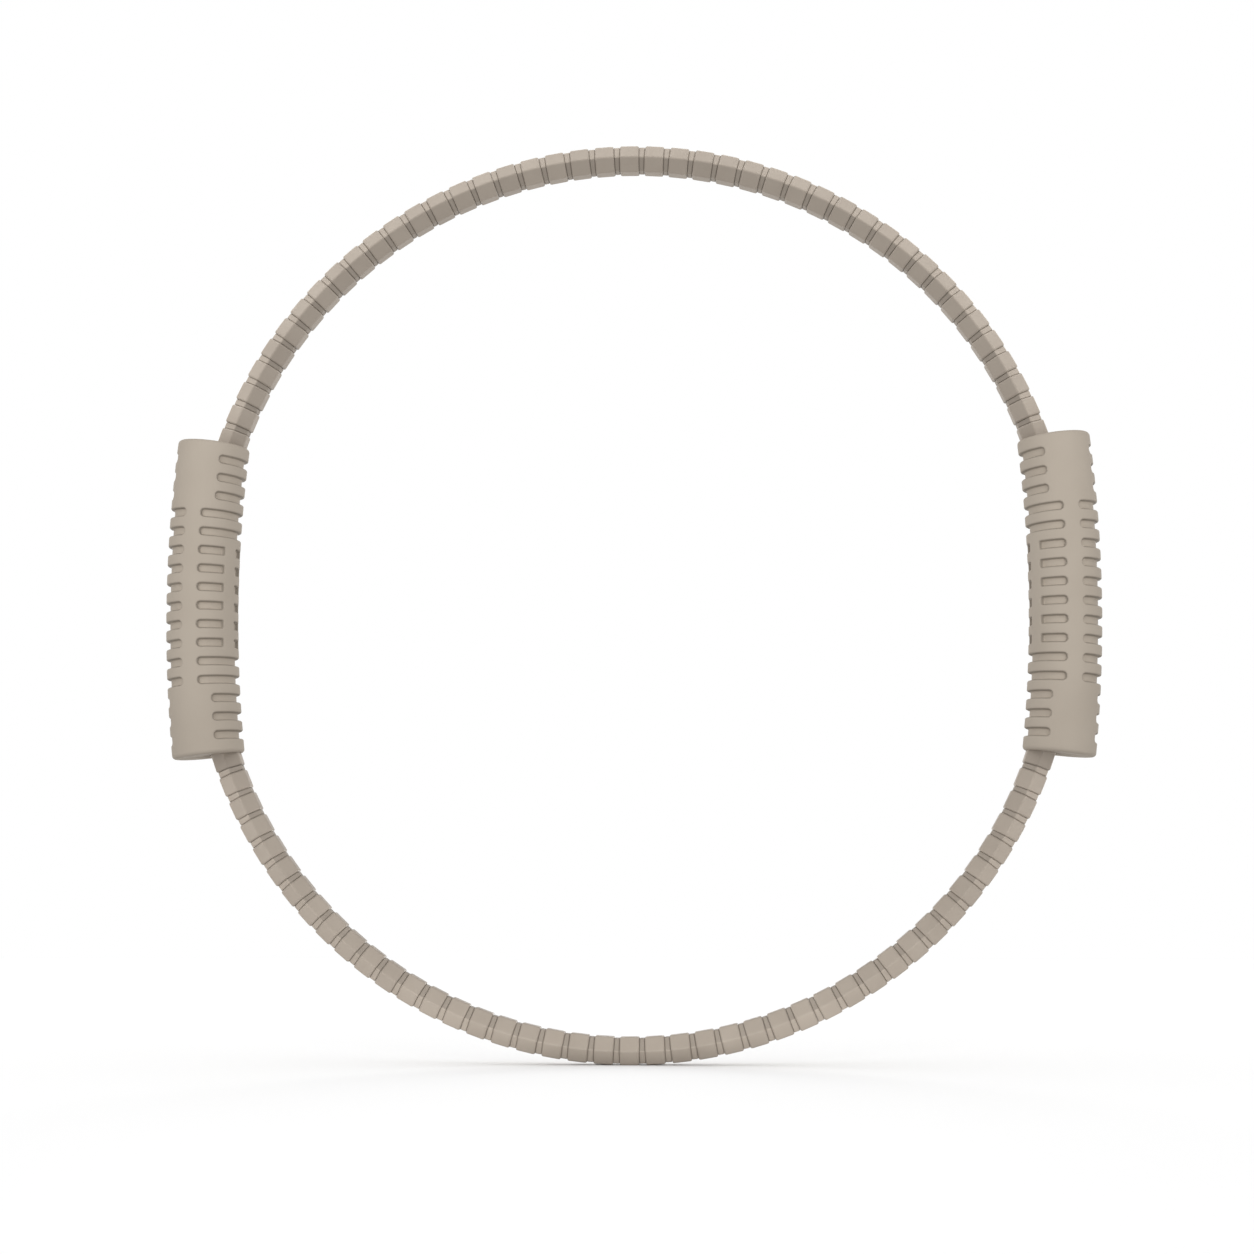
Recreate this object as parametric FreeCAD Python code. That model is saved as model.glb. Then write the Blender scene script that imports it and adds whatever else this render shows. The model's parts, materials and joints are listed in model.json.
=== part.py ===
import FreeCAD, Part
import math
import os

from FreeCAD import Placement, Rotation, Vector

# A pilates ring: two springy half hoops, threaded with hard hexagonal beads and soft spacer rings,
# whose ends meet inside two soft ribbed grips. Lengths are in millimetres and angles in degrees.
# The ring stands in the XZ plane with its middle at the origin: Z is up, X points to the right grip,
# and the front looks along -Y.

# Half hoops: the centre line of a spring rod is a half circle with a straight tail at both ends
ARC_RADIUS = 176.0
TAIL_LENGTH = 8.6

# Spring rods of glass fibre
ROD_DIAMETER = 4.0
ROD_END_GAP = 0.8  # between the ends of the two rods, in the middle of a grip

# Hard beads, which fill the rod between the two grips
BEAD_FLATS = 11.2
BEAD_CHAMFER = 0.45
BEAD_BORE_PLAY = 0.2  # between the rod and each flat of the bead's hexagonal bore
SIDE_BEADS = 20  # on each side of the bead at the crown of a hoop
END_BEAD_SHOWN = 6.5  # of the bead that sits in the mouth of a grip, on the rod's centre line

# Links: beads that keep together when the rod bends
CROWN_SIDE_BEADS = 1  # of the link at the crown, on each side of the crown's own bead
LINK_BEADS = 4  # of every other link, where there are as many

# Soft spacer rings between the beads
SPACER_LENGTH = 2.35  # on the centre line of the rod
SPACER_STEP = 0.55  # from the flats of a bead down to the flats of a spacer
SPACER_BORE_PLAY = 0.1
SPACER_END_PLAY = 0.02

# Splice tubes of steel, which join the ends of the two rods inside the grips
SPLICE_WALL = 1.5
SPLICE_LENGTH = 62.0
SPLICE_BORE_PLAY = 0.05

# Soft grips, bowed round a centre far beyond the other side of the ring
GRIP_LENGTH = 130.5  # along the bow
GRIP_DIAMETER = 29.6
GRIP_BOW_RADIUS = 570.0
GRIP_OFFSET = 2.0  # of the grip's axis outside the rod, half way up the grip
GRIP_WALL = 4.0
GRIP_END_WALL = 5.5
GRIP_EDGE_RADIUS = 1.5
MOUTH_DEPTH = 2.1  # how far the end bead of a hoop sits in the grip, on the rod's centre line
MOUTH_PLAY = 0.15

# Slots across the grip: rows along it, and in each row arcs given in degrees round the grip's axis,
# from the line farthest from the middle of the ring, positive towards the front
SLOT_WIDTH = 3.3
SLOT_DEPTH = 1.7
SLOT_END_MARGIN = 7.4  # from the end of the grip to the middle of the first row
END_ROW_SLOTS = ((-28, 28), (114, 246))
LONG_ROW_SLOTS = ((-67, 67), (93, 267))
MIDDLE_ROW_SLOTS = ((-67, 67), (93, 138), (164, 196), (222, 267))
UPPER_ROWS = [END_ROW_SLOTS] * 3 + [LONG_ROW_SLOTS] * 2
SLOT_ROWS = UPPER_ROWS + [MIDDLE_ROW_SLOTS] * 6 + UPPER_ROWS[::-1]

# Hard cores of the grips, each a front half and a back half screwed together round the splice tube
CORE_PLAY = 0.05  # between the core and the grip around it
CORE_CHANNEL_PLAY = 0.1  # between the core and the splice tube or the rods

# Screws of the cores
SCREW_COUNT = 4
SCREW_END_MARGIN = 15.0  # from the end of the core to the first screw
SCREW_DIAMETER = 3.0
SCREW_TIP_WALL = 1.8  # of the back half beyond the tip of a screw
SCREW_HEAD_SINK = 0.5  # of the head's rim below the surface of the front half
SCREW_HEAD_DIAMETER = 5.5
SCREW_HEAD_HEIGHT = 2.0
SCREW_SOCKET_FLATS = 2.0
SCREW_SOCKET_DEPTH = 1.2
SCREW_PLAY = 0.1

# All cuts run past the surface that they open by this much
OVERRUN = 1.0

# Directions: turning about FRONT takes +X up towards +Z
MIDDLE = Vector(0, 0, 0)
RIGHT = Vector(1, 0, 0)
FRONT = Vector(0, -1, 0)
BACK = Vector(0, 1, 0)
UP = Vector(0, 0, 1)
HEXAGON_CORNERS = 6
HALF_TURN = 180
QUARTER_TURN = 90

# Sizes that follow from the ones above
ROD_RADIUS = ROD_DIAMETER / 2
ARC_CENTRE = Vector(0, 0, TAIL_LENGTH)
SPACER_FLATS = BEAD_FLATS - 2 * SPACER_STEP
GRIP_X = ARC_RADIUS + GRIP_OFFSET
GRIP_RADIUS = GRIP_DIAMETER / 2
BOW_CENTRE = Vector(GRIP_X - GRIP_BOW_RADIUS, 0, 0)
CAVITY_RADIUS = GRIP_RADIUS - GRIP_WALL
CAVITY_LENGTH = GRIP_LENGTH - 2 * GRIP_END_WALL
CORE_RADIUS = CAVITY_RADIUS - CORE_PLAY
CORE_LENGTH = CAVITY_LENGTH - 2 * CORE_PLAY
SLOT_PITCH = (GRIP_LENGTH - 2 * SLOT_END_MARGIN) / (len(SLOT_ROWS) - 1)
SLOT_FLOOR = GRIP_RADIUS - SLOT_DEPTH
SPLICE_RADIUS = ROD_RADIUS + SPLICE_BORE_PLAY + SPLICE_WALL
CHANNEL_RADIUS = SPLICE_RADIUS + CORE_CHANNEL_PLAY

# The screws stand half way between the splice channel and the outermost line of the core
SCREW_OFFSET = (CHANNEL_RADIUS - GRIP_OFFSET + CORE_RADIUS) / 2
SCREW_PITCH = (CORE_LENGTH - 2 * SCREW_END_MARGIN) / (SCREW_COUNT - 1)


def core_depth(reach):
    """Distance from the core's parting plane to its surface, beside a point so far from its axis."""
    return math.sqrt(CORE_RADIUS ** 2 - reach ** 2)


SCREW_SEAT = core_depth(SCREW_OFFSET + SCREW_HEAD_DIAMETER / 2) - SCREW_HEAD_SINK - SCREW_HEAD_HEIGHT
SCREW_LENGTH = SCREW_SEAT + core_depth(SCREW_OFFSET + SCREW_DIAMETER / 2) - SCREW_TIP_WALL


def bow_turn(distance):
    """Angle at the bow's centre of a distance along the grip's axis."""
    return math.degrees(distance / GRIP_BOW_RADIUS)


def mouth_turn():
    """Angle above the arc's centre at which the rod crosses the plane of the grip's end."""
    end = math.radians(bow_turn(GRIP_LENGTH / 2))
    across = -BOW_CENTRE.x * math.sin(end) - TAIL_LENGTH * math.cos(end)
    return math.degrees(end + math.asin(across / ARC_RADIUS))


# The beads share the open arc of a hoop, from the mouth of one grip to the mouth of the other
OPEN_ARC = ARC_RADIUS * math.radians(HALF_TURN - 2 * mouth_turn())
BEAD_PITCH = (OPEN_ARC - 2 * END_BEAD_SHOWN - SPACER_LENGTH) / (2 * SIDE_BEADS + 1)
BEAD_TURN = math.degrees(BEAD_PITCH / ARC_RADIUS)
BEAD_LENGTH = BEAD_PITCH - SPACER_LENGTH
END_BEAD_LENGTH = END_BEAD_SHOWN + MOUTH_DEPTH


def hoop_place(turn):
    """Place on the ring's centre line: Z runs along the rod and X away from the ring's middle."""
    angle = math.radians(turn)
    rise = math.copysign(TAIL_LENGTH, math.sin(angle))
    spot = Vector(ARC_RADIUS * math.cos(angle), 0, rise + ARC_RADIUS * math.sin(angle))
    return Placement(spot, Rotation(FRONT, turn))


def placed(shape, place):
    """Copy of a shape, moved to a place."""
    copy = shape.copy()
    copy.Placement = place.multiply(shape.Placement)
    return copy


def hexagonal_bar(flats, bottom, top):
    """Upright bar with a corner at its front and back and flats at its left and right."""
    reach = flats / 2 / math.cos(math.pi / HEXAGON_CORNERS)
    corners = []
    for number in range(HEXAGON_CORNERS + 1):
        angle = 2 * math.pi * number / HEXAGON_CORNERS
        corners.append(Vector(reach * math.sin(angle), reach * math.cos(angle), bottom))
    return Part.Face(Part.makePolygon(corners)).extrude(UP * (top - bottom))


def bead(bottom, top):
    """Bead along Z: a hexagonal bar with chamfered ends, bored for the rod."""
    bar = hexagonal_bar(BEAD_FLATS, bottom, top)
    end_edges = [edge for edge in bar.Edges if edge.BoundBox.ZLength < BEAD_CHAMFER]
    bar = bar.makeChamfer(BEAD_CHAMFER, end_edges)
    bore_flats = ROD_DIAMETER + 2 * BEAD_BORE_PLAY
    return bar.cut(hexagonal_bar(bore_flats, bottom - OVERRUN, top + OVERRUN))


def spacer():
    """Wedge-shaped spacer ring along Z, its ends lying on the ends of the beads on both sides."""
    ring = hexagonal_bar(SPACER_FLATS, -BEAD_PITCH / 2, BEAD_PITCH / 2)
    bore_flats = ROD_DIAMETER + 2 * SPACER_BORE_PLAY
    cuts = [hexagonal_bar(bore_flats, -BEAD_PITCH, BEAD_PITCH)]
    for side in (-1, 1):
        turn = Rotation(FRONT, side * BEAD_TURN / 2)
        neighbour = Placement(MIDDLE, turn, RIGHT * -ARC_RADIUS)
        near_end = side * (BEAD_LENGTH / 2 + SPACER_END_PLAY)
        block = hexagonal_bar(2 * BEAD_FLATS, -near_end, side * BEAD_PITCH)
        cuts.append(placed(block, neighbour))
    return ring.cut(cuts)


def rod_sweep(radius, start, end):
    """Round bar along the upper rod's arc, between two angles above the arc's centre."""
    spot = hoop_place(start)
    along = spot.Rotation.multVec(UP)
    section = Part.Face(Part.Wire(Part.makeCircle(radius, spot.Base, along)))
    return section.revolve(ARC_CENTRE, FRONT, end - start)


def spring_rod():
    """Rod of the upper hoop: a half circle with two straight tails."""
    pieces = []
    for side in (-1, 1):
        foot = Vector(side * ARC_RADIUS, 0, ROD_END_GAP / 2)
        pieces.append(Part.makeCylinder(ROD_RADIUS, TAIL_LENGTH - ROD_END_GAP / 2, foot, UP))
    return rod_sweep(ROD_RADIUS, 0, HALF_TURN).fuse(pieces).removeSplitter()


def path_bar(radius, length):
    """Round bar along the rods inside the right grip, with its middle half way up the grip."""
    straight = min(length / 2, TAIL_LENGTH)
    foot = Vector(ARC_RADIUS, 0, -straight)
    bar = Part.makeCylinder(radius, 2 * straight, foot, UP)
    bent = math.degrees((length / 2 - straight) / ARC_RADIUS)
    if bent > 0:
        upper = rod_sweep(radius, 0, bent)
        lower = upper.mirror(MIDDLE, UP)
        bar = bar.fuse([upper, lower]).removeSplitter()
    return bar


def bow_bar(radius, length):
    """Round bar along the axis of the right grip, its ends square to the axis."""
    turn = bow_turn(length)
    section = Part.Face(Part.Wire(Part.makeCircle(radius, Vector(GRIP_X, 0, 0), UP)))
    section.rotate(BOW_CENTRE, FRONT, -turn / 2)
    return section.revolve(BOW_CENTRE, FRONT, turn)


def on_bow(shape, distance):
    """Copy of a shape made half way up the right grip, moved along the grip's axis."""
    copy = shape.copy()
    copy.rotate(BOW_CENTRE, FRONT, bow_turn(distance))
    return copy


def slot(start, end):
    """Cutter of one slot half way up the right grip: an arc with round ends and a round floor."""
    axis_point = Vector(GRIP_X, 0, 0)
    outside = GRIP_RADIUS + OVERRUN
    inside = SLOT_FLOOR - OVERRUN
    round_turn = math.degrees(SLOT_WIDTH / 2 / GRIP_RADIUS)
    half = UP * (SLOT_WIDTH / 2)
    near = axis_point + RIGHT * inside
    far = axis_point + RIGHT * outside
    section = Part.Face(Part.makePolygon([near - half, far - half, far + half, near + half, near - half]))
    section.rotate(axis_point, UP, -start - round_turn)
    pieces = []
    for turn in (start + round_turn, end - round_turn):
        direction = Rotation(UP, -turn).multVec(RIGHT)
        foot = axis_point + direction * inside
        pieces.append(Part.makeCylinder(SLOT_WIDTH / 2, outside - inside, foot, direction))
    arc = section.revolve(axis_point, UP, -(end - start - 2 * round_turn))
    floor = Part.makeCylinder(SLOT_FLOOR, 2 * SLOT_WIDTH, axis_point - UP * SLOT_WIDTH, UP)
    return arc.fuse(pieces).cut(floor)


def slots():
    """Cutters of all slots of the right grip."""
    patterns = {}
    for row_slots in set(SLOT_ROWS):
        patterns[row_slots] = [slot(start, end) for start, end in row_slots]
    cutters = []
    for number, row_slots in enumerate(SLOT_ROWS):
        distance = SLOT_END_MARGIN + number * SLOT_PITCH - GRIP_LENGTH / 2
        cutters.extend(on_bow(cutter, distance) for cutter in patterns[row_slots])
    return cutters


def end_bead_place():
    """Place of the upper end bead of the right grip, one pitch beyond the last free bead."""
    return hoop_place(QUARTER_TURN - (SIDE_BEADS + 1) * BEAD_TURN)


def end_beads():
    """The two beads that sit in the mouths of the right grip."""
    top = BEAD_LENGTH / 2
    upper = placed(bead(top - END_BEAD_LENGTH, top), end_bead_place())
    return [upper, upper.mirror(MIDDLE, UP)]


def grip():
    """Right grip: a bowed sleeve with slots, a cavity for the core and a mouth at each end."""
    body = bow_bar(GRIP_RADIUS, GRIP_LENGTH)
    ends = [face for face in body.Faces if isinstance(face.Surface, Part.Plane)]
    body = body.makeFillet(GRIP_EDGE_RADIUS, [face.OuterWire.Edges[0] for face in ends])
    mouth_floor = BEAD_LENGTH / 2 - END_BEAD_LENGTH - SPACER_END_PLAY
    pocket = hexagonal_bar(BEAD_FLATS + 2 * MOUTH_PLAY, mouth_floor, BEAD_LENGTH)
    pocket = placed(pocket, end_bead_place())
    rod_hole = path_bar(ROD_RADIUS + CORE_CHANNEL_PLAY, GRIP_LENGTH)
    cuts = slots() + [pocket, pocket.mirror(MIDDLE, UP), rod_hole, bow_bar(CAVITY_RADIUS, CAVITY_LENGTH)]
    return body.cut(cuts)


def splice_tube():
    """Steel tube, bent along the rods, that their ends are glued into."""
    bore = path_bar(ROD_RADIUS + SPLICE_BORE_PLAY, SPLICE_LENGTH + 2 * OVERRUN)
    return path_bar(SPLICE_RADIUS, SPLICE_LENGTH).cut(bore)


def screw_seats():
    """Places of the screws along the right grip: the middle of each seat, half way up, and its distance."""
    seat = Vector(GRIP_X + SCREW_OFFSET, -SCREW_SEAT, 0)
    distances = [(number - (SCREW_COUNT - 1) / 2) * SCREW_PITCH for number in range(SCREW_COUNT)]
    return seat, distances


def core_screws():
    """Socket-head screws of the right core, their heads to the front."""
    seat, distances = screw_seats()
    head = Part.makeCylinder(SCREW_HEAD_DIAMETER / 2, SCREW_HEAD_HEIGHT, seat, FRONT)
    shank = Part.makeCylinder(SCREW_DIAMETER / 2, SCREW_LENGTH, seat, BACK)
    socket_floor = SCREW_HEAD_HEIGHT - SCREW_SOCKET_DEPTH
    socket = hexagonal_bar(SCREW_SOCKET_FLATS, socket_floor, SCREW_HEAD_HEIGHT + OVERRUN)
    socket = placed(socket, Placement(seat, Rotation(RIGHT, QUARTER_TURN)))
    screw = head.fuse(shank).removeSplitter().cut(socket)
    return [on_bow(screw, distance) for distance in distances]


def core_half(side):
    """Half of the right core, in front of the parting plane (FRONT) or behind it (BACK)."""
    core = bow_bar(CORE_RADIUS, CORE_LENGTH)
    corner = Vector(GRIP_X - GRIP_DIAMETER, 0, -GRIP_LENGTH / 2)
    slab = Part.makePlane(2 * GRIP_DIAMETER, GRIP_LENGTH, corner, FRONT, RIGHT).extrude(side * GRIP_DIAMETER)
    seat, distances = screw_seats()
    hole = Part.makeCylinder(SCREW_DIAMETER / 2 + SCREW_PLAY, SCREW_LENGTH + SCREW_PLAY, seat, BACK)
    head_radius = SCREW_HEAD_DIAMETER / 2 + SCREW_PLAY
    counterbore = Part.makeCylinder(head_radius, CORE_RADIUS, seat, FRONT)
    cuts = [
        path_bar(CHANNEL_RADIUS, SPLICE_LENGTH + 2 * CORE_CHANNEL_PLAY),
        path_bar(ROD_RADIUS + CORE_CHANNEL_PLAY, GRIP_LENGTH),
    ]
    for distance in distances:
        cuts.append(on_bow(hole, distance))
        cuts.append(on_bow(counterbore, distance))
    return core.common(slab).cut(cuts)


def links(crown):
    """Free beads of one hoop in links, from left to right, each link a list of bead shapes."""
    shape = bead(-BEAD_LENGTH / 2, BEAD_LENGTH / 2)
    numbers = range(CROWN_SIDE_BEADS + 1, SIDE_BEADS + 1)
    right = [numbers[first:first + LINK_BEADS] for first in range(0, len(numbers), LINK_BEADS)]
    left = [[-number for number in group] for group in right]
    order = left[::-1] + [range(-CROWN_SIDE_BEADS, CROWN_SIDE_BEADS + 1)] + right
    left_to_right = -math.copysign(1, math.sin(math.radians(crown)))
    chain = []
    for group in order:
        turns = [crown + left_to_right * number * BEAD_TURN for number in group]
        chain.append([placed(shape, hoop_place(turn)) for turn in turns])
    return chain


def spacers(crown):
    """Spacer rings of one hoop, between all its beads and the end beads."""
    shape = spacer()
    steps = [number + 1 / 2 for number in range(-SIDE_BEADS - 1, SIDE_BEADS + 1)]
    return [placed(shape, hoop_place(crown + step * BEAD_TURN)) for step in steps]


def turned_over(shape):
    """Copy of a shape, given a half turn about the ring's axis: right to left and top to bottom."""
    copy = shape.copy()
    copy.rotate(MIDDLE, BACK, HALF_TURN)
    return copy


def write(name, shapes):
    """Write one sub-part as a STEP file."""
    whole = shapes[0] if len(shapes) == 1 else Part.makeCompound(shapes)
    whole.exportStep(os.path.join("parts", name + ".step"))


def main():
    os.makedirs("parts", exist_ok=True)
    for hoop, crown in (("upper", QUARTER_TURN), ("lower", QUARTER_TURN + HALF_TURN)):
        for number, beads in enumerate(links(crown), start=1):
            write(f"{hoop}_beads_{number:02d}", beads)
        write(hoop + "_spacers", spacers(crown))
    rod = spring_rod()
    write("upper_spring_rod", [rod])
    write("lower_spring_rod", [turned_over(rod)])
    grip_pieces = {
        "grip": [grip()],
        "end_beads": end_beads(),
        "splice_tube": [splice_tube()],
        "core_front": [core_half(FRONT)],
        "core_back": [core_half(BACK)],
        "core_screws": core_screws(),
    }
    for name, shapes in grip_pieces.items():
        write("right_" + name, shapes)
        write("left_" + name, [turned_over(shape) for shape in shapes])


main()
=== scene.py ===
import json
import math

import bmesh
import bpy
import numpy as np
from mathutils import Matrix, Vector

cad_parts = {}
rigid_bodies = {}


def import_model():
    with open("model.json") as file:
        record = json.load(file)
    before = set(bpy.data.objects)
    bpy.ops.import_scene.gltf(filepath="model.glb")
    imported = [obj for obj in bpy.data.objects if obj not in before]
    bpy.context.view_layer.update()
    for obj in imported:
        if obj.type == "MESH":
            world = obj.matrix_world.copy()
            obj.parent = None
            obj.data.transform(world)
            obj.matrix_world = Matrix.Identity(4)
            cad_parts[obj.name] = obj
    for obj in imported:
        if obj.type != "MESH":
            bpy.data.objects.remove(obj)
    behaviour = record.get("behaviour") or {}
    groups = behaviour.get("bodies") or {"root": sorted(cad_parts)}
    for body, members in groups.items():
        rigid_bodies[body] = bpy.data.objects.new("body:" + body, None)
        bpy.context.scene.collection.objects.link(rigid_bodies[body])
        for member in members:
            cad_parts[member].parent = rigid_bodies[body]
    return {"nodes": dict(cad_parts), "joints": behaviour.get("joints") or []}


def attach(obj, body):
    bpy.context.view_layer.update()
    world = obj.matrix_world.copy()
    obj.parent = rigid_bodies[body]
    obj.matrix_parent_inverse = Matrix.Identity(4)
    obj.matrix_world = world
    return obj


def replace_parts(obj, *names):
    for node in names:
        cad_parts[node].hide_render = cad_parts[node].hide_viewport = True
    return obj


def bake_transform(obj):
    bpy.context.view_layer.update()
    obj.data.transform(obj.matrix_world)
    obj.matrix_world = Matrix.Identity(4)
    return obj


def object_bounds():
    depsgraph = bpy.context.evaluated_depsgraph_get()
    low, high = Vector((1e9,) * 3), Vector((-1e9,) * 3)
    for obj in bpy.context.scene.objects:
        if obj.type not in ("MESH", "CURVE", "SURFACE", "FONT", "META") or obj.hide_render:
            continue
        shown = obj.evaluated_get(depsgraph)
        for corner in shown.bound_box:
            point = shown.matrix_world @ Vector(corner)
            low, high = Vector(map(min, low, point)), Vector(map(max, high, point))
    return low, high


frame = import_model()
cad_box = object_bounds()

# Looks of a pilates ring: hexagonal beads and spacer rings on two spring rods, and two slotted grips.
# Lengths are in metres. Angles set here and turns round a grip are in degrees, and all others in radians.
# X points to the right grip, Z up, and the front looks along -Y.

# Half hoops and spring rods, as in the solids
ARC_RADIUS = 0.176
TAIL_LENGTH = 0.0086
ROD_DIAMETER = 0.004
ROD_END_GAP = 0.0008

# Beads and spacer rings, as in the solids
BEAD_FLATS = 0.0112
BEAD_BORE_PLAY = 0.0002
SIDE_BEADS = 20
END_BEAD_SHOWN = 0.0065
CROWN_SIDE_BEADS = 1
LINK_BEADS = 4
SPACER_LENGTH = 0.00235
SPACER_STEP = 0.00055
SPACER_BORE_PLAY = 0.0001
SPACER_END_PLAY = 0.00002

# Grips, as in the solids
GRIP_LENGTH = 0.1305
GRIP_DIAMETER = 0.0296
GRIP_BOW_RADIUS = 0.570
GRIP_OFFSET = 0.002
GRIP_WALL = 0.004
GRIP_END_WALL = 0.0055
GRIP_EDGE_RADIUS = 0.0015
MOUTH_DEPTH = 0.0021
MOUTH_PLAY = 0.00015
ROD_HOLE_PLAY = 0.0001
SLOT_WIDTH = 0.0033
SLOT_DEPTH = 0.0017
SLOT_END_MARGIN = 0.0074
END_ROW_SLOTS = ((-28, 28), (114, 246))
LONG_ROW_SLOTS = ((-67, 67), (93, 267))
MIDDLE_ROW_SLOTS = ((-67, 67), (93, 138), (164, 196), (222, 267))
UPPER_ROWS = [END_ROW_SLOTS] * 3 + [LONG_ROW_SLOTS] * 2
SLOT_ROWS = UPPER_ROWS + [MIDDLE_ROW_SLOTS] * 6 + UPPER_ROWS[::-1]

# Finish of the moulded edges, the random tone of each bead, and painted shade and light on the surfaces
BEAD_CORNER_RADIUS = 0.0011
BEAD_END_RADIUS = 0.0008
SPACER_CORNER_RADIUS = 0.0009
SPACER_END_RADIUS = 0.0004
BORE_CORNER_RADIUS = 0.0001
SLOT_LIP_RADIUS = 0.0007
SLOT_FLOOR_RADIUS = 0.0004
SLOT_WALL_DRAFT = 0.0002
SLOT_CORNER_RADIUS = 0.0006
SQUARE_ENDS_FROM = 120
# Painted light on the slot floors, fading up the walls with a power, and painted shade on the slot walls
SLOT_FLOOR_PAINTED_LIGHT_SHARE = 0.06
SLOT_FLOOR_POWER = 4
SLOT_WALL_PAINTED_SHADE_SHARE = 0.42
BEAD_TONE_SHARE = 0.035
# Painted shade in the grooves at the ends of beads and spacers, and on the spacer rings' inner side
GROOVE_PAINTED_SHADE_SHARE = 0.2
INNER_RING_PAINTED_SHADE_SHARE = 0.18

# Steps of the meshes
HEXAGON_CORNERS = 6
CORNER_STEPS = 4
EDGE_STEPS = 4
ROD_SIDES = 20
ROD_STEPS_PER_BEAD = 8
GRIP_COLUMN_STEP = 4.0
GRIP_ROW_STEP = 0.0013
CAVITY_STEP = 0.006
LEAST_ROW_STEP = SLOT_WALL_DRAFT / 3
LEAST_COLUMN_STEP = SLOT_FLOOR_RADIUS / 2
FLAT_SIDE_WEIGHT = 100

# Noise of the materials: where most of its values lie, the detail of a grain, and the seed of random tones
NOISE_SHARES = (0.3, 0.7)
GRAIN_DETAIL = 4.0
RANDOM_SEED = 4

# Camera of the photograph
CAMERA_PLACE = (0.052, -1.0, -0.122)
CAMERA_AIM = (-0.0012, 0.0, -0.0124)
CAMERA_LENS = 70.24
CAMERA_SENSOR = 36.0

# Light: the upper lamps reach the upper hoop, the side lamps both hoops, the grip lamps the grips,
# and the lower lamps the lower hoop. Each lamp has its place in front of the ring, aim, size and power,
# and a twin behind the ring. Each sun has its place, the angle that it spreads over and its strength.
AMBIENT = 0.46
FLOOR_REACH = 1.6
FLOOR_TONE = 0.9
FLOOR_ROUGHNESS = 0.9
FLOOR_BOUNCE = 0.46
FLOOR_GLOW_LIFT = 0.0006
UPPER_LAMPS = {
    "top": ((0.0, -0.127, 0.509), (0.0, 0.0, 0.17), (0.72, 0.12), 0.69),
    "upper_left": ((-0.33, -0.14, 0.36), (-0.12, 0.0, 0.12), (0.30, 0.12), 0.28),
    "upper_right": ((0.33, -0.14, 0.36), (0.12, 0.0, 0.12), (0.30, 0.12), 0.27),
}
SIDE_LAMPS = {
    "left": ((-0.36, -0.167, -0.018), (-0.17, 0.0, -0.01), (0.12, 0.56), 0.42),
    "right": ((0.36, -0.167, -0.018), (0.17, 0.0, -0.01), (0.12, 0.56), 0.43),
}
GRIP_LAMPS = {
    "left_grip": ((-0.255, -0.29, 0.09), (-0.178, 0.0, 0.0), (0.30, 0.40), 0.5),
    "right_grip": ((0.255, -0.29, 0.09), (0.178, 0.0, 0.0), (0.30, 0.40), 0.5),
}
LOWER_LAMPS = {
    "lower_left": ((-0.27, -0.15, -0.17), (-0.12, 0.0, -0.13), (0.16, 0.12), 0.065),
    "lower_right": ((0.27, -0.15, -0.17), (0.12, 0.0, -0.13), (0.16, 0.12), 0.055),
    "low": ((0.0, -0.22, -0.165), (0.0, 0.0, -0.165), (0.34, 0.045), 0.13),
    "floor_glow": ((0.0, -0.1, cad_box[0].z + FLOOR_GLOW_LIFT), (0.0, -0.0999, 0.0), (0.22, 0.17), 0.085),
}
FLOOR_SUNS = {
    "overhead": ((0.0, 0.4, 2.0), 150.0, 1.65),
    "from_behind": ((0.0, 2.0, 0.5), 27.0, 1.45),
    "from_front": ((0.0, -2.0, 0.5), 27.0, 0.6),
}

# Sizes that follow from the ones above
ROD_RADIUS = ROD_DIAMETER / 2
GRIP_X = ARC_RADIUS + GRIP_OFFSET
GRIP_RADIUS = GRIP_DIAMETER / 2
BOW_X = GRIP_X - GRIP_BOW_RADIUS
CAVITY_RADIUS = GRIP_RADIUS - GRIP_WALL
CAVITY_LENGTH = GRIP_LENGTH - 2 * GRIP_END_WALL
SLOT_PITCH = (GRIP_LENGTH - 2 * SLOT_END_MARGIN) / (len(SLOT_ROWS) - 1)
END_TURN = GRIP_LENGTH / 2 / GRIP_BOW_RADIUS
END_PLANE_HEIGHT = -BOW_X * math.sin(END_TURN) - TAIL_LENGTH * math.cos(END_TURN)
MOUTH_TURN = END_TURN + math.asin(END_PLANE_HEIGHT / ARC_RADIUS)
OPEN_ARC = ARC_RADIUS * (math.pi - 2 * MOUTH_TURN)
BEAD_PITCH = (OPEN_ARC - 2 * END_BEAD_SHOWN - SPACER_LENGTH) / (2 * SIDE_BEADS + 1)
BEAD_TURN = BEAD_PITCH / ARC_RADIUS
BEAD_LENGTH = BEAD_PITCH - SPACER_LENGTH
END_BEAD_LENGTH = END_BEAD_SHOWN + MOUTH_DEPTH
HALF_HOOP_BEADS = math.pi / 2 / BEAD_TURN

FRONT = np.array((0.0, -1.0, 0.0))
UPSIDE_DOWN = np.array((1.0, 1.0, -1.0))
HALF_TURN = np.array((-1.0, 1.0, -1.0))
HOOP_SIDES = {"upper": 1, "lower": -1}
random = np.random.default_rng(RANDOM_SEED)


# Meshes

def hexagon(flats, corner_radius, inset=0.0):
    """Outline of a rounded hexagon as pairs of outward and front, a corner at its front and back."""
    apothem = flats / 2 - inset
    radius = max(corner_radius - inset, BORE_CORNER_RADIUS)
    reach = (apothem - radius) / math.cos(math.pi / HEXAGON_CORNERS)
    sector = 2 * math.pi / HEXAGON_CORNERS
    points = []
    for corner in range(HEXAGON_CORNERS):
        middle = corner * sector
        for step in range(CORNER_STEPS + 1):
            angle = middle + (step / CORNER_STEPS - 1 / 2) * sector
            outward = reach * math.sin(middle) + radius * math.sin(angle)
            front = reach * math.cos(middle) + radius * math.cos(angle)
            points.append((outward, front))
    return np.array(points)


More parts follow.
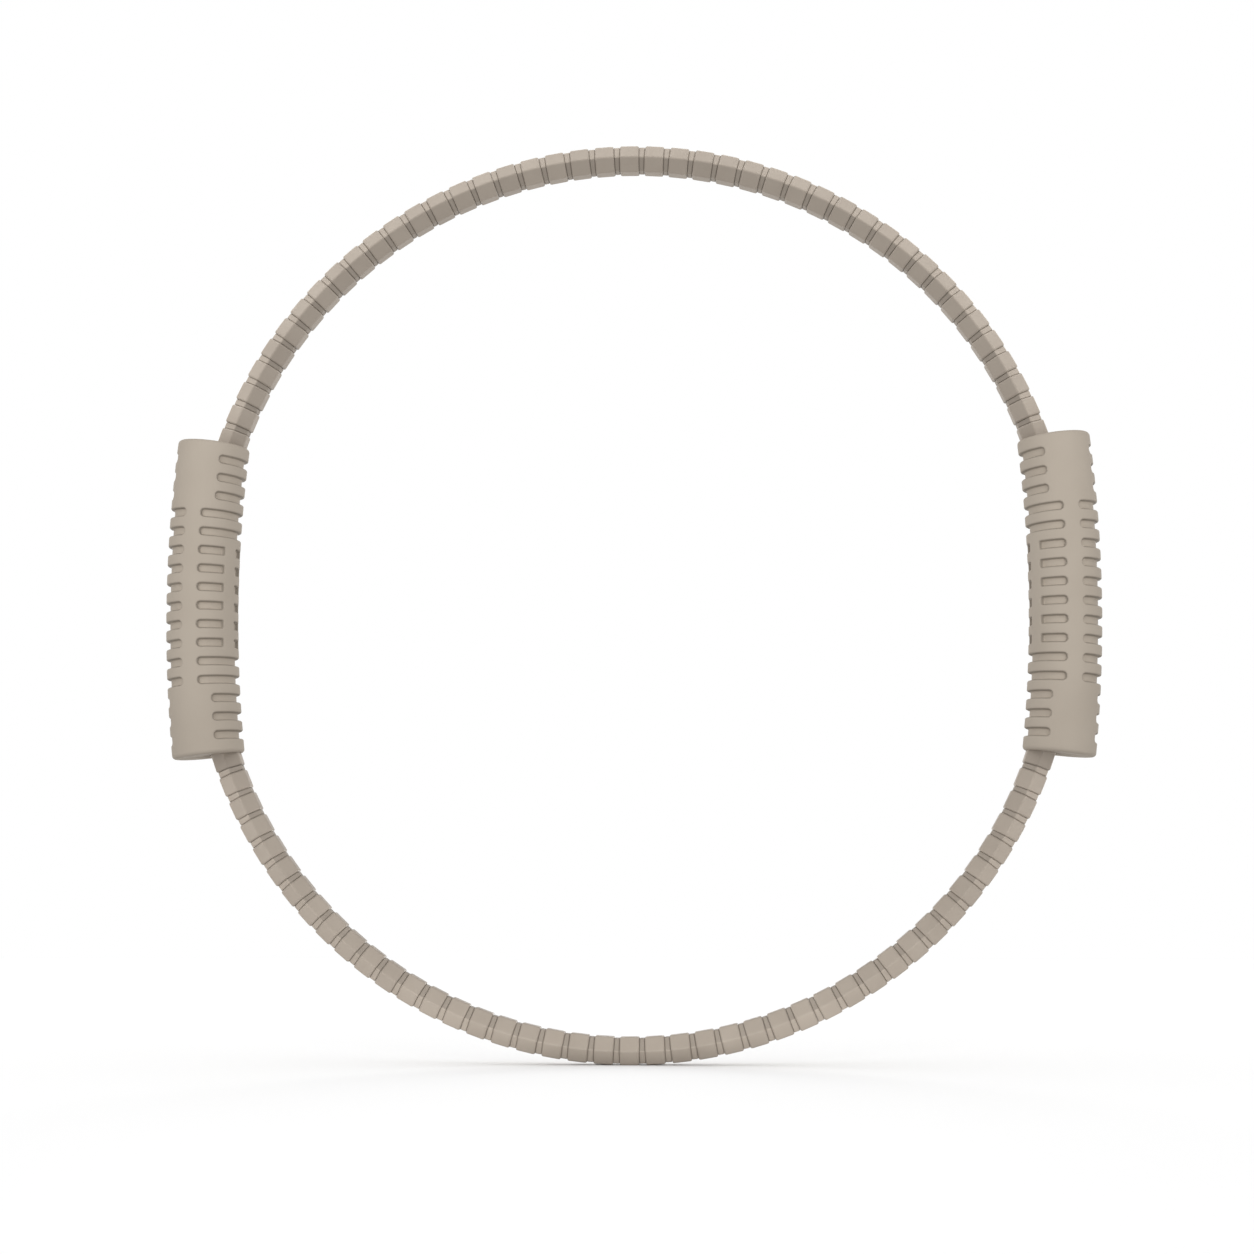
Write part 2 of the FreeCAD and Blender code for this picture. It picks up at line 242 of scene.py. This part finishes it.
def hoop_place(hoop, number):
    """Spot on the hoop's centre line, with the directions outward and along the rod to the right.

    The number counts beads from the middle of the hoop to the right.
    """
    side = HOOP_SIDES[hoop]
    angle = number * BEAD_TURN
    outward = np.array((math.sin(angle), 0.0, side * math.cos(angle)))
    along = np.array((math.cos(angle), 0.0, -side * math.sin(angle)))
    spot = ARC_RADIUS * outward + np.array((0.0, 0.0, side * TAIL_LENGTH))
    return spot, outward, along


def placed(outline, place, height):
    """Outline of outward and front pairs, set at a height along a place of the hoop."""
    spot, outward, along = place
    return spot + outline[:, :1] * outward + outline[:, 1:] * FRONT + height * along


def rounded_edge(radius):
    """Pairs of drop and inset of a quarter round, from the end face to the side."""
    angles = [step / EDGE_STEPS * math.pi / 2 for step in range(EDGE_STEPS + 1)]
    return [(radius * (1 - math.cos(angle)), radius * (1 - math.sin(angle))) for angle in angles]


def bead(place, start, end):
    """Rows of points round one bead, from its bore over its end, side and other end back to the bore."""
    edge = rounded_edge(BEAD_END_RADIUS)
    bore = hexagon(ROD_DIAMETER + 2 * BEAD_BORE_PLAY, BORE_CORNER_RADIUS)
    rows = [placed(bore, place, start)]
    for drop, inset in edge:
        rows.append(placed(hexagon(BEAD_FLATS, BEAD_CORNER_RADIUS, inset), place, start + drop))
    for drop, inset in edge[::-1]:
        rows.append(placed(hexagon(BEAD_FLATS, BEAD_CORNER_RADIUS, inset), place, end - drop))
    rows.append(placed(bore, place, end))
    return np.array(rows)


def spacer(near, far):
    """Rows of points round the spacer ring between two beads, given by their places."""
    half = BEAD_LENGTH / 2 + SPACER_END_PLAY
    bore = hexagon(ROD_DIAMETER + 2 * SPACER_BORE_PLAY, BORE_CORNER_RADIUS)
    flats = BEAD_FLATS - 2 * SPACER_STEP
    edge = rounded_edge(SPACER_END_RADIUS)
    stations = [(0.0, bore)]
    for drop, inset in edge:
        stations.append((drop / SPACER_LENGTH, hexagon(flats, SPACER_CORNER_RADIUS, inset)))
    for drop, inset in edge[::-1]:
        stations.append((1 - drop / SPACER_LENGTH, hexagon(flats, SPACER_CORNER_RADIUS, inset)))
    stations.append((1.0, bore))
    rows = []
    for share, outline in stations:
        start = placed(outline, near, half)
        end = placed(outline, far, -half)
        rows.append(start + share * (end - start))
    return np.array(rows)


def rod(hoop, start, end):
    """Rod of a hoop between two places, counted in beads, with its straight tail where it ends in a grip."""
    angles = np.linspace(0, 2 * math.pi, ROD_SIDES, endpoint=False)
    circle = ROD_RADIUS * np.stack((np.cos(angles), np.sin(angles)), axis=1)
    steps = math.ceil((end - start) * ROD_STEPS_PER_BEAD)
    rows = [placed(circle, hoop_place(hoop, number), 0.0) for number in np.linspace(start, end, steps + 1)]
    tail = TAIL_LENGTH - ROD_END_GAP / 2
    if start == -HALF_HOOP_BEADS:
        rows.insert(0, placed(circle, hoop_place(hoop, start), -tail))
    if end == HALF_HOOP_BEADS:
        rows.append(placed(circle, hoop_place(hoop, end), tail))
    return np.array(rows)


def grid_faces(rows, columns, first, closed):
    """Faces of a grid whose columns go round, and whose rows go round too where it is closed."""
    numbers = first + np.arange(rows * columns).reshape(rows, columns)
    beside = np.roll(numbers, -1, axis=1)
    quads = np.stack((numbers, beside, np.roll(beside, -1, axis=0), np.roll(numbers, -1, axis=0)), axis=2)
    if closed:
        return quads.reshape(-1, 4).tolist()
    caps = [numbers[0].tolist(), numbers[-1].tolist()]
    return quads[:-1].reshape(-1, 4).tolist() + caps


def add_piece(name, grids, material, shades=None, closed=True, flat_sides=True):
    """Object made of grids of points, with a shade at each point for its material."""
    points, faces, values = [], [], []
    for number, grid in enumerate(grids):
        rows, columns = grid.shape[:2]
        faces.extend(grid_faces(rows, columns, len(points), closed))
        points.extend(grid.reshape(-1, 3).tolist())
        shade = 1.0 if shades is None else shades[number]
        values.extend(np.broadcast_to(shade, (rows, columns)).reshape(-1).tolist())
    mesh = bpy.data.meshes.new(name)
    mesh.from_pydata(points, [], faces)
    mesh.attributes.new("shade", "FLOAT", "POINT").data.foreach_set("value", values)
    shape = bmesh.new()
    shape.from_mesh(mesh)
    bmesh.ops.recalc_face_normals(shape, faces=shape.faces)
    shape.to_mesh(mesh)
    shape.free()
    mesh.shade_smooth()
    mesh.materials.append(material)
    piece = bpy.data.objects.new(name, mesh)
    bpy.context.scene.collection.objects.link(piece)
    if flat_sides:
        piece.modifiers.new("flat_sides", "WEIGHTED_NORMAL").weight = FLAT_SIDE_WEIGHT
    return piece


# Materials

def new_material(name):
    """Material with its node tree and its shader."""
    material = bpy.data.materials.new(name)
    material.use_nodes = True
    return material, material.node_tree, material.node_tree.nodes["Principled BSDF"]


def object_place(tree, stretch=None):
    """Place in the object's own frame, stretched along its axes where asked."""
    place = tree.nodes.new("ShaderNodeTexCoord").outputs["Object"]
    if stretch is None:
        return place
    mapping = tree.nodes.new("ShaderNodeMapping")
    mapping.inputs["Scale"].default_value = stretch
    tree.links.new(place, mapping.inputs["Vector"])
    return mapping.outputs["Vector"]


def noise(tree, place, size, detail=2.0):
    """Noise with features of about a size."""
    node = tree.nodes.new("ShaderNodeTexNoise")
    node.inputs["Scale"].default_value = 1 / size
    node.inputs["Detail"].default_value = detail
    tree.links.new(place, node.inputs["Vector"])
    return node.outputs["Fac"]


def spread(tree, value, low, high):
    """Value of a noise, spread over a range from where most of its values lie."""
    node = tree.nodes.new("ShaderNodeMapRange")
    node.inputs["From Min"].default_value = NOISE_SHARES[0]
    node.inputs["From Max"].default_value = NOISE_SHARES[1]
    node.inputs["To Min"].default_value = low
    node.inputs["To Max"].default_value = high
    tree.links.new(value, node.inputs["Value"])
    return node.outputs["Result"]


def two_tones(tree, share, dark, light):
    """Colour between two tones."""
    node = tree.nodes.new("ShaderNodeMix")
    node.data_type = "RGBA"
    colours = [socket for socket in node.inputs if socket.type == "RGBA"]
    colours[0].default_value = (*dark, 1.0)
    colours[1].default_value = (*light, 1.0)
    tree.links.new(share, node.inputs["Factor"])
    return [socket for socket in node.outputs if socket.type == "RGBA"][0]


def shaded(tree, colour):
    """Colour made lighter or darker by the shade kept at each point: the random tone of a bead, and painted
    shade and painted light.
    """
    shade = tree.nodes.new("ShaderNodeAttribute")
    shade.attribute_name = "shade"
    node = tree.nodes.new("ShaderNodeVectorMath")
    node.operation = "SCALE"
    tree.links.new(colour, node.inputs[0])
    tree.links.new(shade.outputs["Fac"], node.inputs["Scale"])
    return node.outputs["Vector"]


def bumped(tree, shader, height, depth):
    """Small relief of a shader."""
    node = tree.nodes.new("ShaderNodeBump")
    node.inputs["Distance"].default_value = depth
    tree.links.new(height, node.inputs["Height"])
    tree.links.new(node.outputs["Normal"], shader.inputs["Normal"])


def moulded(name, dark, light, patch, grain, depth, roughness, gloss, by_point=True):
    """Moulded plastic or rubber: two tones in soft patches under a fine grain, times the shade kept at each
    point where asked, which holds random tone and painted shade and light.
    """
    material, tree, shader = new_material(name)
    place = object_place(tree)
    patches = noise(tree, place, patch)
    colour = two_tones(tree, spread(tree, patches, 0.0, 1.0), dark, light)
    tree.links.new(shaded(tree, colour) if by_point else colour, shader.inputs["Base Color"])
    fine = noise(tree, place, grain, GRAIN_DETAIL)
    bumped(tree, shader, fine, depth)
    tree.links.new(spread(tree, fine, *roughness), shader.inputs["Roughness"])
    shader.inputs["Specular IOR Level"].default_value = gloss
    return material


def streaked(name, dark, light, stretch, streak, detail, depth, roughness, metallic):
    """Two tones in fine streaks, as of fibres in resin or drawn steel, long where the stretch is small."""
    material, tree, shader = new_material(name)
    streaks = noise(tree, object_place(tree, stretch), streak, detail)
    colour = two_tones(tree, spread(tree, streaks, 0.0, 1.0), dark, light)
    tree.links.new(colour, shader.inputs["Base Color"])
    tree.links.new(spread(tree, streaks, *roughness), shader.inputs["Roughness"])
    bumped(tree, shader, streaks, depth)
    shader.inputs["Metallic"].default_value = metallic
    return material


bead_plastic = moulded("bead_plastic", (0.428, 0.368, 0.308), (0.459, 0.398, 0.334),
                       patch=0.012, grain=0.0008, depth=0.000005, roughness=(0.42, 0.52), gloss=0.25)
spacer_rubber = moulded("spacer_rubber", (0.449, 0.387, 0.324), (0.482, 0.418, 0.351),
                        patch=0.006, grain=0.0005, depth=0.00001, roughness=(0.5, 0.62), gloss=0.3)
grip_rubber = moulded("grip_rubber", (0.491, 0.428, 0.357), (0.517, 0.453, 0.379),
                      patch=0.02, grain=0.0005, depth=0.00001, roughness=(0.58, 0.7), gloss=0.1)
core_plastic = moulded("core_plastic", (0.045, 0.045, 0.047), (0.06, 0.06, 0.062),
                       patch=0.01, grain=0.0006, depth=0.00003, roughness=(0.45, 0.6), gloss=0.5,
                       by_point=False)
rod_fibre = streaked("glass_fibre", (0.52, 0.49, 0.36), (0.72, 0.70, 0.58), stretch=(1.0, 8.0, 1.0),
                     streak=0.004, detail=5.0, depth=0.00004, roughness=(0.3, 0.45), metallic=0.0)
drawn_steel = streaked("steel", (0.46, 0.46, 0.48), (0.62, 0.62, 0.63), stretch=(6.0, 6.0, 1.0),
                       streak=0.003, detail=6.0, depth=0.00002, roughness=(0.25, 0.42), metallic=1.0)


# Hoops

def tone_and_painted_groove_shade(rows, tone):
    """Shade of each row of a bead or spacer, times its tone: painted shade, darker towards its two ends,
    where the grooves between beads and spacers lie in shade.
    """
    from_end = np.minimum(np.arange(rows), np.arange(rows)[::-1])
    return tone * (1 - GROOVE_PAINTED_SHADE_SHARE * np.clip(1 - (from_end - 1) / EDGE_STEPS, 0, 1))[:, None]


def painted_ring_shades(rows):
    """Painted shade of a spacer ring: darker towards its ends, and darker on the hoop's inner side, where
    the beads stand closer together and shade the ring.
    """
    outward = hexagon(BEAD_FLATS, BEAD_CORNER_RADIUS)[:, 0]
    return tone_and_painted_groove_shade(rows, 1.0) * np.where(outward < 0, 1 - INNER_RING_PAINTED_SHADE_SHARE, 1.0)


def link_of(hoop, number):
    """Body that carries a bead, given its number from the hoop's middle, negative to the left."""
    if abs(number) > SIDE_BEADS:
        return "left_handle" if number < 0 else "right_handle"
    side_links = math.ceil((SIDE_BEADS - CROWN_SIDE_BEADS) / LINK_BEADS)
    beyond = max(abs(number) - CROWN_SIDE_BEADS, 0)
    step = int(math.copysign(math.ceil(beyond / LINK_BEADS), number))
    return f"{hoop}_beads_{side_links + 1 + step:02d}"


def bead_tone():
    """Tone of one bead: no two come out of the mould quite alike."""
    return 1.0 + BEAD_TONE_SHARE * random.uniform(-1, 1)


def build_links(hoop):
    """Beads of one hoop, and the spacer rings inside each of its links."""
    numbers = range(-SIDE_BEADS, SIDE_BEADS + 1)
    for name in sorted({link_of(hoop, number) for number in numbers}):
        members = [number for number in numbers if link_of(hoop, number) == name]
        beads = [bead(hoop_place(hoop, number), -BEAD_LENGTH / 2, BEAD_LENGTH / 2) for number in members]
        # Random tone of each bead, with painted shade towards its ends
        shades = [tone_and_painted_groove_shade(len(rows), bead_tone()) for rows in beads]
        piece = add_piece(name + "_skin", beads, bead_plastic, shades)
        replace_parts(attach(piece, name), name)
        rings = [spacer(hoop_place(hoop, number), hoop_place(hoop, number + 1)) for number in members[:-1]]
        # Painted shade of the spacer rings, at their ends and on the hoop's inner side
        shades = [painted_ring_shades(len(rows)) for rows in rings]
        piece = add_piece(name + "_spacers", rings, spacer_rubber, shades)
        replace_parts(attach(piece, name), hoop + "_spacers")


def add_rod(name, hoop, start, end):
    """Piece of a hoop's rod between two places, counted in beads."""
    rows = rod(hoop, start, end)
    piece = add_piece(name, [rows], rod_fibre, closed=False, flat_sides=False)
    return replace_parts(piece, hoop + "_spring_rod")


def build_hinges(hoop):
    """Spacer rings and stretches of rod of one hoop where it bends, from one link or handle to the next."""
    joined = [{joint["parent"], joint["child"]} for joint in frame["joints"]]
    numbers = range(-SIDE_BEADS - 1, SIDE_BEADS + 1)
    hinges = [number for number in numbers if link_of(hoop, number) != link_of(hoop, number + 1)]
    middles = [(before + after + 1) / 2 for before, after in zip(hinges, hinges[1:])]
    cuts = [-HALF_HOOP_BEADS] + middles + [HALF_HOOP_BEADS]
    for number, start, end in zip(hinges, cuts, cuts[1:]):
        bodies = [link_of(hoop, number), link_of(hoop, number + 1)]
        near, far = hoop_place(hoop, number), hoop_place(hoop, number + 1)
        name = f"{bodies[0]}_to_{bodies[1]}"
        rows = spacer(near, far)
        # Painted shade of the spacer ring, at its ends and on the hoop's inner side
        ring = add_piece(name + "_spacer", [rows], spacer_rubber, [painted_ring_shades(len(rows))])
        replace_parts(ring, hoop + "_spacers")
        if set(bodies) in joined:
            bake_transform(ring)
            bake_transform(add_rod(name + "_rod", hoop, start, end))
        else:
            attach(ring, bodies[0])
            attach(add_rod(bodies[0] + "_rod_end", hoop, start, number + 1 / 2), bodies[0])
            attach(add_rod(bodies[1] + "_rod_end", hoop, number + 1 / 2, end), bodies[1])


for hoop_name in HOOP_SIDES:
    build_links(hoop_name)
    build_hinges(hoop_name)


# Grips

def slot_profile(distance):
    """Depth of a slot at a distance outside its edge: a round lip, a steep wall and a round floor edge."""
    lip = np.clip(1 - distance / SLOT_LIP_RADIUS, 0, 1)
    lip_drop = SLOT_LIP_RADIUS * (1 - np.sqrt(1 - lip ** 2))
    floor = np.clip((-distance - SLOT_WALL_DRAFT) / SLOT_FLOOR_RADIUS, 0, 1)
    floor_drop = SLOT_FLOOR_RADIUS * np.sqrt(1 - (1 - floor) ** 2)
    wall_depth = SLOT_DEPTH - SLOT_LIP_RADIUS - SLOT_FLOOR_RADIUS
    wall_drop = wall_depth * np.clip(-distance / SLOT_WALL_DRAFT, 0, 1)
    return lip_drop + wall_drop + floor_drop


def slot_rows():
    """Distance of each row of slots along the grip from its middle, with the row's slots."""
    first = SLOT_END_MARGIN - GRIP_LENGTH / 2
    return [(first + number * SLOT_PITCH, slots) for number, slots in enumerate(SLOT_ROWS)]


def slot_distance(along, turns, row, start, end):
    """Distance of each point of the grip from the edge of one slot, negative inside it."""
    middle = (start + end) / 2
    offset = (turns - middle + 180) % 360 - 180
    half = GRIP_RADIUS * math.radians(end - start) / 2
    end_turn = np.where(offset > 0, end, start)
    square = np.abs(end_turn - 180) < 180 - SQUARE_ENDS_FROM
    radius = np.where(square, SLOT_CORNER_RADIUS, SLOT_WIDTH / 2)
    across = np.abs(along - row)[:, None] - (SLOT_WIDTH / 2 - radius)
    around = GRIP_RADIUS * np.radians(np.abs(offset)) - (half - radius)
    outside = np.hypot(np.maximum(across, 0), np.maximum(around, 0))
    return outside + np.minimum(np.maximum(across, around), 0) - radius


def profile_steps():
    """Distances from a slot's edge at which its profile turns."""
    arc = [math.sin(step / EDGE_STEPS * math.pi / 2) for step in range(EDGE_STEPS + 1)]
    lip = [SLOT_LIP_RADIUS * (1 - share) for share in arc]
    floor = [-SLOT_WALL_DRAFT - SLOT_FLOOR_RADIUS * (1 - share) for share in arc]
    return lip + floor


def thinned(values, least):
    """Sorted values, none nearer to the one before than the least step."""
    kept = []
    for value in sorted(values):
        if not kept or value - kept[-1] > least:
            kept.append(value)
    return np.array(kept)


def grip_lines():
    """Places of the grip's rows along it and columns round it, close together at the slots' edges."""
    reach = GRIP_LENGTH / 2 - GRIP_EDGE_RADIUS
    along = list(np.arange(-reach, reach, GRIP_ROW_STEP)) + [reach]
    rows = slot_rows()
    for row, _ in rows:
        for step in profile_steps():
            along += [row - SLOT_WIDTH / 2 - step, row + SLOT_WIDTH / 2 + step]
    turns = list(np.arange(0, 360, GRIP_COLUMN_STEP))
    for start, end in {pair for _, slots in rows for pair in slots}:
        steps = profile_steps() + list(np.linspace(-SLOT_WIDTH / 2, 0, 2 * EDGE_STEPS))
        for step in steps:
            turn = math.degrees(step / GRIP_RADIUS)
            turns += [(start - turn) % 360, (end + turn) % 360]
    along = [value for value in along if abs(value) <= reach]
    least_turn = math.degrees(LEAST_COLUMN_STEP / GRIP_RADIUS)
    return thinned(along, LEAST_ROW_STEP), thinned(turns, least_turn)


def on_grip(radii, turns, bow):
    """Points of the right grip at distances from its axis, turns round it and an angle along its bow."""
    angles = np.radians(turns)
    outward = GRIP_BOW_RADIUS + radii * np.cos(angles)
    places = (BOW_X + outward * math.cos(bow), -radii * np.sin(angles), outward * math.sin(bow))
    return np.stack(places, axis=1)


def mouth_rows(turns):
    """Rows from the rim of the upper mouth down to the cavity of the right grip."""
    place = hoop_place("upper", SIDE_BEADS + 1)
    along = place[2]
    angles = np.radians(turns)
    flats = BEAD_FLATS + 2 * MOUTH_PLAY
    sector = 2 * math.pi / HEXAGON_CORNERS
    from_flat = (angles + sector / 2) % sector - sector / 2
    reach = flats / 2 / np.cos(from_flat)
    wall = np.stack((reach * np.cos(angles), reach * np.sin(angles)), axis=1)
    hole = (ROD_RADIUS + ROD_HOLE_PLAY) * np.stack((np.cos(angles), np.sin(angles)), axis=1)

    def at_bow(outline, bow):
        """Outline moved along the bead's axis to the plane across the grip at an angle of its bow."""
        flat = placed(outline, place, 0.0)
        normal = np.array((-math.sin(bow), 0.0, math.cos(bow)))
        heights = ((np.array((BOW_X, 0.0, 0.0)) - flat) @ normal) / (along @ normal)
        return flat + heights[:, None] * along

    floor = END_BEAD_LENGTH - BEAD_LENGTH / 2 + SPACER_END_PLAY
    cavity_bow = CAVITY_LENGTH / 2 / GRIP_BOW_RADIUS
    return [at_bow(wall, END_TURN), placed(wall, place, floor),
            placed(hole, place, floor), at_bow(hole, cavity_bow)]


def right_grip():
    """Rows of points round the right grip, outside and then inside, and the shade of each point: painted
    light on the slot floors and painted shade on the slot walls.
    """
    along, turns = grip_lines()
    depth = np.zeros((len(along), len(turns)))
    for row, slots in slot_rows():
        for start, end in slots:
            distance = slot_distance(along, turns, row, start, end)
            depth = np.maximum(depth, slot_profile(distance))
    outside = [on_grip(GRIP_RADIUS - depth[i], turns, along[i] / GRIP_BOW_RADIUS) for i in range(len(along))]
    # Painted light on the slot floors and painted shade on the slot walls, by the share of the slot's depth
    share = depth / SLOT_DEPTH
    painted_light = SLOT_FLOOR_PAINTED_LIGHT_SHARE * share ** SLOT_FLOOR_POWER
    shades = 1.0 + painted_light - SLOT_WALL_PAINTED_SHADE_SHARE * 4 * share * (1 - share)
    full = np.full(len(turns), GRIP_RADIUS)
    upper = []
    for drop, inset in rounded_edge(GRIP_EDGE_RADIUS)[-2::-1]:
        upper.append(on_grip(full - inset, turns, (GRIP_LENGTH / 2 - drop) / GRIP_BOW_RADIUS))
    upper += mouth_rows(turns)
    lower = [row * UPSIDE_DOWN for row in upper]
    count = math.ceil(CAVITY_LENGTH / CAVITY_STEP)
    bows = [(1 / 2 - step / count) * CAVITY_LENGTH / GRIP_BOW_RADIUS for step in range(count + 1)]
    cavity = [on_grip(np.full(len(turns), CAVITY_RADIUS), turns, bow) for bow in bows]
    plain = np.ones((len(upper) + len(cavity) + len(lower), len(turns)))
    return np.array(outside + upper + cavity + lower[::-1]), np.concatenate((shades, plain))


def build_grips():
    """Grips of both sides, with the end beads in their mouths and the finish of the pieces inside them."""
    rows, shades = right_grip()
    mouth = hoop_place("upper", SIDE_BEADS + 1)
    upper_bead = bead(mouth, -BEAD_LENGTH / 2, END_BEAD_LENGTH - BEAD_LENGTH / 2)
    lower_bead = upper_bead * UPSIDE_DOWN
    inside = {"splice_tube": drawn_steel, "core_screws": drawn_steel,
              "core_front": core_plastic, "core_back": core_plastic}
    for side, turn in (("right", np.ones(3)), ("left", HALF_TURN)):
        name = side + "_grip_skin"
        skin = add_piece(name, [rows * turn], grip_rubber, [shades], flat_sides=False)
        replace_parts(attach(skin, side + "_handle"), side + "_grip")
        ends = [upper_bead * turn, lower_bead * turn]
        # Random tone of each end bead, with painted shade towards its ends
        tones_and_painted_shades = [tone_and_painted_groove_shade(len(end), bead_tone()) for end in ends]
        piece = add_piece(side + "_end_beads_skin", ends, bead_plastic, tones_and_painted_shades)
        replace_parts(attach(piece, side + "_handle"), side + "_end_beads")
        for node, material in inside.items():
            for slot in frame["nodes"][f"{side}_{node}"].material_slots:
                slot.material = material


build_grips()


# Stage

def seen_rays(tree):
    """Value that is one for rays of the camera, gloss and clear materials, and nought for those of light."""
    path = tree.nodes.new("ShaderNodeLightPath")
    seen = path.outputs["Is Camera Ray"]
    for ray in ("Is Glossy Ray", "Is Transmission Ray"):
        node = tree.nodes.new("ShaderNodeMath")
        node.operation = "MAXIMUM"
        tree.links.new(seen, node.inputs[0])
        tree.links.new(path.outputs[ray], node.inputs[1])
        seen = node.outputs["Value"]
    return seen


def ranged(tree, value, low, high):
    """Value from nought to one, spread over a range."""
    node = tree.nodes.new("ShaderNodeMapRange")
    node.inputs["To Min"].default_value = low
    node.inputs["To Max"].default_value = high
    tree.links.new(value, node.inputs["Value"])
    return node.outputs["Result"]


def build_floor():
    """Plain pale floor under the ring, white to the camera outside the ring's shadow."""
    level = cad_box[0].z
    corners = [(-1, -1), (1, -1), (1, 1), (-1, 1)]
    mesh = bpy.data.meshes.new("floor")
    mesh.from_pydata([(FLOOR_REACH * x, FLOOR_REACH * y, level) for x, y in corners], [], [(0, 1, 2, 3)])
    floor = bpy.data.objects.new("floor", mesh)
    bpy.context.scene.collection.objects.link(floor)
    material, tree, shader = new_material("floor")
    tree.links.new(ranged(tree, seen_rays(tree), FLOOR_BOUNCE, FLOOR_TONE), shader.inputs["Base Color"])
    shader.inputs["Roughness"].default_value = FLOOR_ROUGHNESS
    shader.inputs["Specular IOR Level"].default_value = 0.0
    mesh.materials.append(material)
    return floor


def build_world():
    """White surroundings for the camera and for gloss, and a softer light on the ring."""
    world = bpy.data.worlds.new("studio")
    bpy.context.scene.world = world
    world.use_nodes = True
    tree = world.node_tree
    background = tree.nodes["Background"]
    background.inputs["Color"].default_value = (1.0, 1.0, 1.0, 1.0)
    tree.links.new(ranged(tree, seen_rays(tree), AMBIENT, 1.0), background.inputs["Strength"])


def lit_things(name, things, state):
    """Collection that tells a lamp to light only some things or to leave them out."""
    lit = bpy.data.collections.new(name)
    for thing in things:
        lit.objects.link(thing)
    for member in lit.collection_objects:
        member.light_linking.link_state = state
    return lit


def add_lamp(light, place, aim, lit):
    """Lamp at a place, pointing at an aim, that the camera doesn't see."""
    lamp = bpy.data.objects.new(light.name, light)
    lamp.location = place
    lamp.rotation_euler = (aim - place).to_track_quat("-Z", "Y").to_euler()
    lamp.visible_camera = False
    lamp.light_linking.receiver_collection = lit
    bpy.context.scene.collection.objects.link(lamp)


def build_lights(floor):
    """Soft lamps round the ring, in front and behind, and suns that light the floor alone."""
    lower_hoop = [piece for piece in bpy.data.objects if "lower_beads" in piece.name]
    grips = [piece for piece in bpy.data.objects if piece.name.endswith("_grip_skin")]
    lamps_by_lit = (
        (UPPER_LAMPS, lit_things("upper_hoop", [floor] + grips + lower_hoop, "EXCLUDE")),
        (SIDE_LAMPS, lit_things("hoops", [floor] + grips, "EXCLUDE")),
        (GRIP_LAMPS, lit_things("grips", grips, "INCLUDE")),
        (LOWER_LAMPS, lit_things("lower_hoop", lower_hoop, "INCLUDE")),
    )
    for lamps, lit in lamps_by_lit:
        for name, (place, aim, size, power) in lamps.items():
            for side, depth in (("front", 1), ("back", -1)):
                light = bpy.data.lights.new(f"{name}_{side}_lamp", "AREA")
                light.shape = "RECTANGLE"
                light.size, light.size_y = size
                light.energy = power
                mirror = Vector((1, depth, 1))
                add_lamp(light, Vector(place) * mirror, Vector(aim) * mirror, lit)
    floor_only = lit_things("floor_only", [floor], "INCLUDE")
    for name, (place, spread_angle, strength) in FLOOR_SUNS.items():
        sun = bpy.data.lights.new(name + "_sun", "SUN")
        sun.energy = strength
        sun.angle = math.radians(spread_angle)
        add_lamp(sun, Vector(place), Vector(), floor_only)


def build_camera():
    """Camera at the photograph's viewing angle."""
    data = bpy.data.cameras.new("camera")
    data.lens = CAMERA_LENS
    data.sensor_width = CAMERA_SENSOR
    camera = bpy.data.objects.new("camera", data)
    camera.location = CAMERA_PLACE
    camera.rotation_euler = (Vector(CAMERA_AIM) - Vector(CAMERA_PLACE)).to_track_quat("-Z", "Y").to_euler()
    bpy.context.scene.collection.objects.link(camera)
    bpy.context.scene.camera = camera


build_world()
build_lights(build_floor())
build_camera()
bpy.context.scene.view_settings.view_transform = "Standard"
